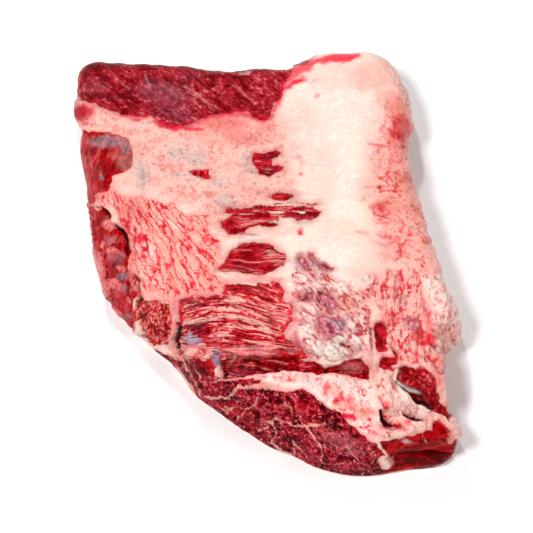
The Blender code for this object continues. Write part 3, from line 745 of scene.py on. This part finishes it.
# blood, veils and warmer patches on the fat
fatWashes = [
    ("#f49c94", 2, [], [
     (45, -36, -46, 3, -10, -44, 3.4, 20, -46, 3, 34, -48, 3),
     (40, -40, 2, 4, -14, 4, 4, 14, 2, 4, 30, 6, 3),
     (35, -26, 44, 4, 4, 46, 4, 30, 48, 3),
     (60, -73, -66, 3, -73, -84, 4, -75, -100, 4, -82, -110, 3),
     (50, 28, -60, 3, 30, -84, 3, 34, -110, 3)]),
    ("#fbdcc6", 8, [(50, 86, 18, 16, 20), (40, 80, 110, 8, 14), (40, 70, -12, 14, 10)]),
    ("#f4b8ac", 8, [(35, 76, 2, 18, 16), (40, 96, -30, 12, 14), (80, 98, -134, 5, 12),
     (50, 84, -146, 14, 4), (30, -20, 50, 20, 8), (100, 104, 176, 20, 18), (80, 122, 190, 16, 14),
     (50, 92, 186, 30, 10), (40, 36, 120, 16, 30), (30, 70, 170, 26, 12), (25, 56, 66, 18, 40),
     (60, 90, -40, 16, 12)]),
    ("#f8847c", 5, [(95, -34, 122, 26, 10), (80, -20, 108, 20, 9, -10), (60, 4, 118, 10, 10),
     (50, -52, 112, 12, 8), (40, -120, 30, 14, 8, -20), (20, -100, 44, 16, 5)]),
    ("#f08c84", 2.4, [(60, -120, 112, 6, 2.4, -10), (50, -96, 104, 8, 3, 6), (50, -70, 108, 7, 3, -8),
     (60, -44, 100, 9, 3, -6), (50, -22, 98, 5, 4), (40, -112, 84, 5, 7), (50, -90, 74, 8, 3, -14),
     (50, -98, 60, 6, 4), (50, -70, 50, 8, 3, -10), (50, -46, 44, 6, 3), (50, -84, 46, 6, 3, 10),
     (40, -16, 62, 4, 8), (50, -10, 48, 8, 3), (40, 30, 56, 6, 4), (40, -54, 90, 5, 4),
     (30, 32, 96, 4, 8), (40, -28, 76, 4, 6), (50, 12, 104, 8, 3)]),
    ("#cdbab3", 5, [(55, -76, 88, 10, 10), (60, -58, 82, 10, 10), (40, -66, 64, 14, 6),
     (50, -40, 58, 6, 8), (55, -34, 36, 8, 9), (60, -12, 80, 5, 12), (55, -110, 68, 7, 15),
     (30, 24, 76, 5, 10), (40, 28, 42, 8, 5), (50, 32, -30, 5, 8), (50, 54, -34, 8, 5, -20),
     (30, 44, -96, 6, 5), (30, -86, 96, 8, 6), (40, 40, 14, 16, 3)]),
    ("#b0949a", 2, [(80, -109, 64, 1.6, 9, 4), (50, -104, 66, 1.2, 6), (60, -77, 64, 2, 3, -20),
     (70, -26, 32, 1.6, 4), (60, -36, 54, 2, 2), (70, -8, 68, 6, 1.4), (50, 57, -107, 3, 8, -8),
     (40, 98, -130, 2, 7), (35, 80, -98, 6, 3, -20), (40, 54, -112, 2, 7), (30, 34, -76, 9, 4, -14),
     (40, 128, -68, 3, 5)]),
    ("#b06a80", 3, [(60, -60, -106, 12, 6, -6), (45, 134, -92, 8, 8)]),
    ("#ee6a68", 2, [(60, 94, -124, 2, 8), (50, 98, -140, 3, 6), (50, 124, -126, 6, 2),
     (50, 160, -140, 5, 10), (50, 166, -160, 5, 10), (50, 112, -134, 4, 3), (50, 138, -126, 5, 2),
     (60, 111, -121, 8, 2), (50, 90, -116, 2, 8), (50, 98, -88, 2, 8), (40, 30, -146, 8, 2),
     (30, 0, -152, 10, 1.6)]),
    ("#c8283c", 2.4, [(70, 36, -88, 6, 3, -20), (60, 40, -78, 5, 2.4, -14), (60, 50, -96, 4, 5),
     (60, 70, -76, 4, 5), (60, 82, -84, 7, 3, -10), (60, 86, -100, 5, 3), (50, 76, -122, 6, 3),
     (50, 92, -92, 3, 8), (60, 32, -102, 4, 6), (50, 60, -44, 8, 3, -24), (40, 36, -50, 3, 5),
     (60, 66, -60, 5, 3, -40)]),
    ("#ffeadf", 3, [(100, 66, -115, 9, 13, -12), (90, 51, -118, 3.6, 7), (60, 39, -57, 6, 4.6),
     (60, 40, -99, 7, 5), (50, 38, -44, 6, 4.6, 10), (50, 84, -112, 5, 7), (50, 44, -114, 4, 4),
     (50, 92, -48, 8, 6), (40, 78, -94, 4, 5), (60, 135, -176, 12, 4, -24),
     (40, 120, -160, 10, 3, -40)]),
    ("#e9806c", 4, [(70, 77, -70, 7, 8), (90, 90, -176, 9, 5, -6), (50, 62, -156, 8, 6),
     (50, 120, 30, 12, 12), (60, 134, 56, 8, 16), (50, 138, 30, 6, 14), (50, 162, -98, 12, 8),
     (30, -106, 112, 4, 3), (40, -114, 96, 5, 6), (70, 128, 136, 9, 16), (40, 120, 150, 12, 8),
     (80, -150, 38, 6, 5)]),
    ("#ec4c4a", 3, [(90, 132, 116, 9, 16), (60, 124, 108, 6, 12), (60, 110, 30, 8, 6),
     (85, 142, -104, 10, 8), (60, 90, -62, 9, 4), (50, 118, -84, 12, 5, -10), (60, 150, -90, 4, 18),
     (35, -115, 22, 12, 9, -20), (90, -168, 134, 12, 10), (30, 90, -74, 12, 8), (40, 110, -90, 8, 5),
     (60, 134, 96, 6, 8), (40, 126, 84, 8, 8), (40, 74, -168, 8, 8), (40, 100, -196, 6, 4),
     (50, 152, -140, 4, 22), (60, -52, -118, 9, 2.4, 32)]),
    ("#b8142a", 4, [(95, -170, 135, 10, 8), (70, -178, 142, 6, 6)]),
    ("#f4203c", 1.6, [(100, -107, -4, 4, 5.5), (100, -119, 7, 3.5, 5), (80, -122, 15, 5, 3),
     (90, -103, -23, 2, 2.4), (90, -89, 9, 1.5, 2), (100, 38, 65, 1.8, 1.8), (80, 37, 82, 1.2, 5, 10),
     (70, 54, 154, 2, 2), (100, 38, 4, 2.6, 3.4), (100, 36, 172, 8, 3.4, 34), (40, 44, 184, 6, 2),
     (90, -163, 121, 4, 2), (100, 75, -181, 6, 3, -20), (80, 68, -163, 3, 7, -20),
     (70, 77, -167, 2.4, 6, 10), (80, 58, -154, 1.6, 6, -14), (90, 150, -106, 3.4, 6),
     (90, 146, -112, 7, 3), (60, 110, -58, 3, 2), (80, 86, -202, 6, 2, -36), (90, 131, 108, 3, 4),
     (70, 124, 110, 2, 6), (50, 131, 122, 3, 4), (90, 109, 28, 2.4, 3, 30), (90, 110, 51, 2.4, 1.6),
     (80, 124, 47, 1.8, 1.4), (80, 120, 40, 1.6, 1.2), (70, 95, 39, 2.2, 2.2), (80, 134, 2, 2.4, 2.4),
     (70, 143, -17, 1.6, 1.6), (60, -108, 113, 1.2, 2.4, -40), (70, 108, -170, 1.6, 4),
     (60, 165, -82, 5, 1.4, 30), (80, 170, -106, 1.6, 4, -14), (70, 94, -65, 4, 2),
     (60, -96, -56, 2, 4, -30)], [
     (100, 16, 146, 1.6, 21, 161, 2, 30, 167, 2.2, 43, 174, 1.4),
     (85, 20, 168, 4, 29, 178, 6, 42, 188, 5, 52, 193, 3),
     (60, 46, 170, 1, 55, 173, 0.6),
     (95, 52, 193, 3, 64, 196, 4, 76, 198, 5, 94, 201, 3),
     (80, 111, 53, 0.5, 104, 50, 0.8, 98, 51, 0.6),
     (80, 118, 24, 0.8, 110, 20, 1.4, 103, 24, 1.6, 101, 30, 1),
     (70, 124, 14, 0.6, 116, 12, 1.2, 108, 14, 0.8),
     (70, 127, 126, 0.6, 122, 116, 1.4, 124, 106, 1),
     (60, 118, 126, 0.5, 114, 116, 1.2, 117, 108, 0.6),
     (70, 110, -4, 0.4, 118, -2, 1, 126, -8, 0.6),
     (70, 150, 6, 0.8, 153, -6, 1.4, 158, -14, 0.8),
     (70, 120, -56, 0.8, 128, -55, 1.2, 138, -52, 0.8),
     (60, 128, 70, 0.5, 124, 62, 1, 126, 52, 0.6),
     (50, 106, 76, 0.4, 114, 72, 1, 118, 66, 0.5),
     (95, -100, 123, 2, -92, 120, 3, -80, 117, 3, -68, 117, 3, -60, 115, 2.4, -54, 114, 1),
     (80, -52, 128, 1.6, -30, 132, 1.6, -16, 133, 2.4, -6, 129, 1.6, 2, 126, 2, 10, 130, 2),
     (80, 14, 136, 1.6, 19, 150, 1.4, 20, 164, 1.4),
     (70, -130, 131, 1.4, -120, 128, 1.8, -104, 129, 1.2),
     (80, 101, 99, 0.6, 108, 97, 1.2, 116, 97, 1, 122, 96, 0.5),
     (80, 86, 5, 0.3, 90, 3, 0.9, 97, 3, 0.8),
     (80, 107, 0, 0.8, 112, -3, 1),
     (80, 114, -12, 0.4, 119, -9, 0.7, 122, -10, 1.3),
     (80, 42, -42, 0.5, 46, -44, 0.7, 48, -49, 0.4),
     (90, 57, -42, 0.5, 60, -46, 1, 61, -49, 0.4),
     (80, 97, -78, 0.7, 96, -92, 1, 97.5, -106, 1, 99, -116, 0.7),
     (50, -40, 66, 0.4, -50, 76, 0.6, -40, 80, 0.4),
     (60, -94, 20, 0.5, -92, 12, 0.8, -90, 8, 0.9),
     (50, 26, 84, 0.3, 36, 84, 0.4),
     (80, 142, -60, 0.5, 147, -76, 0.8, 151, -90, 1)]),
]
for layers, rows in ((muscleLayers, muscleWashes), (fatLayers, fatWashes)):
    for row in rows:
        wash(layers, *row)
print("tones laid out")

# thin fat at a border takes the colour of what is under or beside it
border = 0.55 + 0.9 * np.clip(grainOf(planX, planY, 16, 3.5, 2.2) + 0.5, 0, 1)
border = np.clip(ease(-8, -0.5, lean) * isFat * border, 0, 1) * (1 - cap)
for code, share in (("#dc8c84", 0.5 * onWindows), ("#ee7078", 0.6 * onBelly),
                    ("#f47a74", 0.4 * lobed), ("#c05c6c", 0.4 * torn), ("#e02440", 0.6 * onFar)):
    tint(fatLayers, code, border * share, 1.0, tints["borderLift"])

glossy = np.clip(allOf([
    onMembrane, 0.3 * onTip, 0.8 * onLump, ease(-0.5, 1.5, patch(muscle["hole"])),
    0.7 * ease(0, 4, oval(-142, 100, 18, 14)), 0.6 * ease(0, 4, oval(-90, 158, 26, 12)),
    ease(-1, 1, oval(-60, -106, 11, 6))]), 0, 1)

# where juice stands on it and gives the sharp glints
shine = {"all": 0.20, "frontLean": -0.12, "fat": 0.5, "skin": 0.3}
juicy = allOf([0.8 * rim, knob, 0.8 * columns, torn, 0.6 * lobed, fans])
wet = np.clip(shine["all"] + shine["frontLean"] * front * isLean + shine["fat"] * isFat * juicy
              + shine["skin"] * glossy, 0, 1)

# how far blood has stained the fat in patches
stained = isFat * allOf([
    1.0 * rim, 0.25 * lobed, 0.7 * columns, 0.12 * knob, 0.55 * torn, 0.5 * lowFat, 0.4 * fans,
    0.9 * middle, 0.4 * front, 0.7 * onLip, 0.16 * np.ones(len(points))]) * (1 - 0.4 * flank)

amounts = {
    "lean": lean, "creaseStainAndShade": creaseStainAndShade, "lively": lively * steady, "steady": steady, "slitShade": slitShade,
    "stained": stained,
    "striated": allOf([onBelly, 0.6 * onWindows, 0.6 * onBlock, 0.4 * onRecess, 0.15 * onLip]),
    "flecked": np.clip(0.3 + onFar + 0.5 * onCut + 0.2 * onWindows, 0, 1),
    "marbled": np.maximum(onCut, 0.4 * onBlock), "glossy": glossy, "wet": wet,
}
colours = dict(zip(("muscleHollow", "muscle", "muscleCrest", "fatHollow", "fat", "fatCrest"),
                   muscleLayers + fatLayers))
for name, values in amounts.items():
    field = brisket.data.attributes.new(name, "FLOAT", "POINT")
    field.data.foreach_set("value", values.astype(np.float32))
for name, layer in colours.items():
    field = brisket.data.attributes.new(name, "FLOAT_COLOR", "POINT")
    field.data.foreach_set("color", np.c_[layer, np.ones(len(layer))].astype(np.float32).ravel())
grain = brisket.data.attributes.new("grain", "FLOAT_VECTOR", "POINT")
alongMetres = np.stack([alongFibre, acrossFibre, 1000 * points[:, 2]], axis=1) / 1000
grain.data.foreach_set("vector", alongMetres.astype(np.float32).ravel())
triangles = sum(len(face.vertices) - 2 for face in brisket.data.polygons)
finishWith("even out", "DECIMATE", {"ratio": slab["most"] / triangles})
print("attributes kept on", len(brisket.data.polygons), "faces")

# raw beef cut with a knife and torn by hand, wet: dark red muscle of parallel fibres, soft pale fat with
# blood and painted shade in its creases, slits painted near black as shade, blue grey silverskin; a damp
# gloss all over
flesh = {
    "vein": "#f0b4ae",  # marbling in a cut face
    "paleFibre": "#f4b8ad",
    "blood": "#d80c26",
    "deep": "#680006",
    # painted shade: the near black that fills the slits and holes
    "hollow": "#300205",
    "roughMuscle": 0.17,
    "roughFat": 0.30,
    "roughWet": -0.08,  # less where skin or blood lies wet
    "ior": 1.38,
    "specular": 0.02,
    "roughFilm": 0.08,
    "filmIor": 1.36,
    "glow": 0.22,  # how much light passes through the flesh
    "glowRadius": (1.0, 0.35, 0.2),
    "glowDepth": 0.002,  # metres
    "bump": 0.0012,  # metres
}
beef = bpy.data.materials.new("raw_beef_muscle_fat_and_silverskin")
beef.use_nodes = True
tree = beef.node_tree
shader = tree.nodes["Principled BSDF"]


def add(kind, settings=(), links=()):
    # one node with its settings and its incoming links; numbers name a socket by its place
    node = tree.nodes.new("ShaderNode" + kind)
    for key, value in dict(settings).items():
        if isinstance(key, int) or key in node.inputs:
            node.inputs[key].default_value = value
        else:
            setattr(node, key, value)
    for key, source in dict(links).items():
        tree.links.new(source, node.inputs[key])
    return node


place = add("TexCoord").outputs["Object"]
sources = {}
for name in amounts:
    sources[name] = add("Attribute", {"attribute_name": name}).outputs["Fac"]
for name in colours:
    sources[name] = add("Attribute", {"attribute_name": name}).outputs["Color"]
sources["grain"] = add("Attribute", {"attribute_name": "grain"}).outputs["Vector"]
# the grain's own space: fibres 1.6 mm wide and 20 mm long, bundles 4 by 35, the short fibres
# of a cut 1.6 by 6, the lobes of the fat 4 by 20, bundles cut across 3 by 5
for name, scale in (("fibre", (50, 620, 200)), ("bundle", (28, 240, 90)), ("stub", (170, 620, 300)),
                    ("lobe", (26, 190, 70)), ("fascicle", (220, 380, 220))):
    sources[name] = add("Mapping", {"Scale": scale}, {"Vector": sources["grain"]}).outputs[0]
sources["place"] = place
# every noise swings about nothing: where it is read, lumps to a unit, detail, roughness
for name, vector, scale, detail, roughness in (
        ("crumb", "place", 620, 3.0, 0.6),  # 1.6 mm
        ("small", "place", 300, 2.0, 0.5),  # 3.3 mm
        ("mid", "place", 140, 3.0, 0.6),  # 7 mm
        ("broad", "place", 45, 2.0, 0.5),  # 22 mm
        ("streak", "fibre", 1.0, 3.0, 0.5),
        ("band", "bundle", 1.0, 2.0, 0.5),
        ("short", "stub", 1.0, 2.0, 0.5)):
    noise = add("TexNoise", {"Scale": scale, "Detail": detail, "Roughness": roughness},
                {"Vector": sources[vector]}).outputs["Fac"]
    sources[name] = add("Math", {"operation": "SUBTRACT", 1: 0.5}, {0: noise}).outputs[0]
for name in ("streak", "band", "short"):
    sources[name] = add("Math", {"operation": "MULTIPLY"},
                        {0: sources[name], 1: sources["steady"]}).outputs[0]
# the seams between lobes of fat and between cut bundles: cells whose places wander
wander = add("TexNoise", {"Scale": 190, "Detail": 2.0}, {"Vector": place}).outputs["Color"]
for name, vector, wide, stray in (("lobeSeam", "lobe", 0.18, (0.5, 1.0, 0.6)),
                                  ("fascicleSeam", "fascicle", 0.26, (1.1, 1.3, 1.1))):
    spread = add("VectorMath", {"operation": "MULTIPLY_ADD", 1: stray},
                 {0: wander, 2: sources[vector]}).outputs[0]
    cell = add("TexVoronoi", {"feature": "DISTANCE_TO_EDGE", "Scale": 1.0},
               {"Vector": spread}).outputs["Distance"]
    sources[name] = add("MapRange", {"interpolation_type": "SMOOTHSTEP", "From Min": wide,
                                     "From Max": 0.0}, {"Value": cell}).outputs["Result"]


def weigh(parts):
    # a sum of sources, each times its gain; further names are gates from 0 to 1
    total = {}
    for gain, name, *gates in parts:
        value = sources[name]
        for gate in gates:
            value = add("Math", {"operation": "MULTIPLY"}, {0: value, 1: sources[gate]}).outputs[0]
        total = {2: add("Math", {"operation": "MULTIPLY_ADD", 1: gain, 2: 0.0},
                        {0: value, **total}).outputs[0]}
    return total[2]


def paint(colour, layers):
    # lays tones over a colour: tone, most, the sums where it starts and is full, the sum, a gate
    for tone, most, low, high, parts, *gates in layers:
        share = add("MapRange", {"interpolation_type": "SMOOTHSTEP", "From Min": low, "From Max": high,
                                 "To Max": most}, {"Value": weigh(parts)}).outputs["Result"]
        for gate in gates:
            share = add("Math", {"operation": "MULTIPLY"}, {0: share, 1: sources[gate]}).outputs[0]
        settings, links = {"data_type": "RGBA"}, {0: share, 6: colour}
        if tone in sources:
            links[7] = sources[tone]
        else:
            settings[7] = linear(flesh[tone])
        colour = add("Mix", settings, links).outputs[2]
    return colour


sources["muscleColour"] = paint(sources["muscle"], [
    ("muscleHollow", 1.0, 0.05, -0.22, [(1.0, "band"), (0.8, "short"), (0.9, "mid"), (0.8, "small"),
                                        (0.7, "broad")]),
    ("muscleCrest", 0.9, 0.14, 0.50, [(0.8, "band"), (1.1, "short"), (0.9, "broad"), (1.5, "small"),
                                      (0.9, "mid"), (0.16, "fascicleSeam", "marbled")]),
    ("paleFibre", 0.9, 0.14, 0.44, [(2.6, "streak"), (1.7, "band"), (0.8, "broad")], "striated"),
    ("deep", 0.85, -0.14, -0.36, [(2.4, "streak"), (1.2, "band"), (0.6, "small")], "striated"),
    ("muscleCrest", 0.7, 0.50, 1.00, [(0.7, "fascicleSeam"), (1.8, "small"), (1.4, "crumb"),
                                      (0.8, "mid")], "marbled"),
    ("vein", 0.9, 0.30, 0.46, [(1.3, "short"), (1.0, "small"), (1.6, "crumb")], "marbled"),
    ("vein", 0.32, 0.36, 0.56, [(0.8, "short"), (2.0, "crumb"), (0.6, "mid")], "flecked"),
])
sources["edge"] = weigh([(1.0, "lean"), (3.0, "crumb"), (3.0, "streak"), (2.0, "small"),
                         (9.0, "band", "striated")])
# deeper red along the creases and lobe seams: partly blood stain, partly painted shade
sources["fatColour"] = paint(sources["fat"], [
    ("fatHollow", 1.0, 0.34, 0.96, [(0.8, "creaseStainAndShade"), (0.85, "lobeSeam", "lively"), (1.4, "mid"),
                                    (1.1, "small"), (0.9, "crumb"), (0.6, "streak")]),
    ("fatCrest", 0.95, 0.02, 0.34, [(1.3, "small"), (1.3, "crumb"), (1.8, "mid"), (0.9, "broad"),
                                   (-0.5, "creaseStainAndShade"), (-0.4, "lobeSeam", "lively")]),
    ("blood", 0.9, 0.80, 1.25, [(0.8, "creaseStainAndShade"), (0.7, "lobeSeam", "lively"), (1.4, "mid"),
                                (1.2, "small"), (0.9, "crumb")]),
    ("fatHollow", 0.8, 0.02, 0.42, [(1.5, "broad"), (2.2, "mid"), (1.3, "small"),
                                    (0.6, "crumb")], "stained"),
    ("fatHollow", 0.6, 0.14, 0.40, [(1.6, "small"), (1.2, "crumb"), (0.5, "mid")], "stained"),
    ("fatHollow", 0.7, 0.12, 0.36, [(1.8, "streak"), (0.8, "small"), (0.6, "crumb")], "lively"),
    ("fatHollow", 0.5, -4.0, -0.4, [(1.0, "edge")]),
])
sources["share"] = add("MapRange", {"interpolation_type": "SMOOTHSTEP", "From Min": -0.3,
                                    "From Max": 0.5}, {"Value": sources["edge"]}).outputs["Result"]
meat = add("Mix", {"data_type": "RGBA"},
           {0: sources["share"], 6: sources["fatColour"], 7: sources["muscleColour"]}).outputs[2]
# painted shade darkens the slits and holes to near black
meat = paint(meat, [("hollow", 0.92, 0.15, 0.75, [(1.0, "slitShade"), (0.5, "small")])])
tree.links.new(meat, shader.inputs["Base Color"])

sources["fatGloss"] = add("MapRange", {"To Min": flesh["roughFat"], "To Max": flesh["roughMuscle"]},
                          {"Value": sources["share"]}).outputs["Result"]
rough = weigh([(1.0, "fatGloss"), (0.30, "mid"), (flesh["roughWet"], "glossy"), (0.2, "slitShade"),
               (-0.05, "lively")])
tree.links.new(rough, shader.inputs["Roughness"])
tree.links.new(sources["wet"], shader.inputs["Coat Weight"])
for name, value in (("IOR", flesh["ior"]), ("Specular IOR Level", flesh["specular"]),
                    ("Coat Roughness", flesh["roughFilm"]), ("Coat IOR", flesh["filmIor"]),
                    ("Subsurface Weight", flesh["glow"]), ("Subsurface Radius", flesh["glowRadius"]),
                    ("Subsurface Scale", flesh["glowDepth"])):
    shader.inputs[name].default_value = value

height = weigh([(2.0, "streak", "share"), (0.9, "band", "share"), (1.2, "short", "share"),
                (0.5, "crumb", "share"), (0.9, "small", "share"), (-0.9, "share"),
                (0.4, "crumb"), (0.6, "small"), (0.5, "mid"), (0.5, "crumb", "lively"),
                (1.8, "small", "stained"), (2.0, "mid", "stained"), (0.8, "small", "lively"),
                (0.8, "mid", "lively"), (-0.5, "lobeSeam", "lively"),
                (-0.3, "creaseStainAndShade")])
bump = add("Bump", {"Strength": 1.0, "Distance": flesh["bump"]}, {"Height": height})
tree.links.new(bump.outputs["Normal"], shader.inputs["Normal"])
tree.links.new(bump.outputs["Normal"], shader.inputs["Coat Normal"])

brisket.data.materials.clear()
brisket.data.materials.append(beef)
bpy.ops.object.shade_smooth()
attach(brisket, "root")
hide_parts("brisket")
print("meat finished")

# a pale table and soft studio light
studio = {
    "floor": "#fafafa",
    "world": 0.20,
    "floorSize": 6.0,
    "key": ((-1.1, -0.8, 2.5), 0.6, 60.0),  # place and size in metres, watts
    "fill": ((1.6, -0.6, 1.8), 1.2, 17.0),
    "glint": ((-0.5, 1.6, 2.3), 0.20, 22.0),
}
bpy.ops.object.select_all(action="DESELECT")
bpy.ops.mesh.primitive_plane_add(size=studio["floorSize"], location=(0, 0, 0))
table = bpy.context.object
table.name = "table"
bpy.ops.object.transform_apply(location=True, rotation=True, scale=True)
matt = bpy.data.materials.new("matt_white_paper_sweep")
matt.use_nodes = True
paper = matt.node_tree.nodes["Principled BSDF"]
paper.inputs["Base Color"].default_value = linear(studio["floor"])
paper.inputs["Roughness"].default_value = 0.9
table.data.materials.append(matt)

world = bpy.data.worlds.new("soft white room")
world.use_nodes = True
air = world.node_tree.nodes["Background"]
air.inputs["Color"].default_value = (1, 1, 1, 1)
air.inputs["Strength"].default_value = studio["world"]
bpy.context.scene.world = world

for name in ("key", "fill", "glint"):
    spot, size, power = studio[name]
    bpy.ops.object.light_add(type="AREA", location=spot)
    lamp = bpy.context.object
    lamp.name = name + "_softbox"
    lamp.data.size = size
    lamp.data.energy = power
    lamp.rotation_euler = (Vector((0, 0, 0.02)) - Vector(spot)).to_track_quat("-Z", "Y").to_euler()
bpy.context.scene.view_settings.view_transform = "Standard"
print("studio lit")
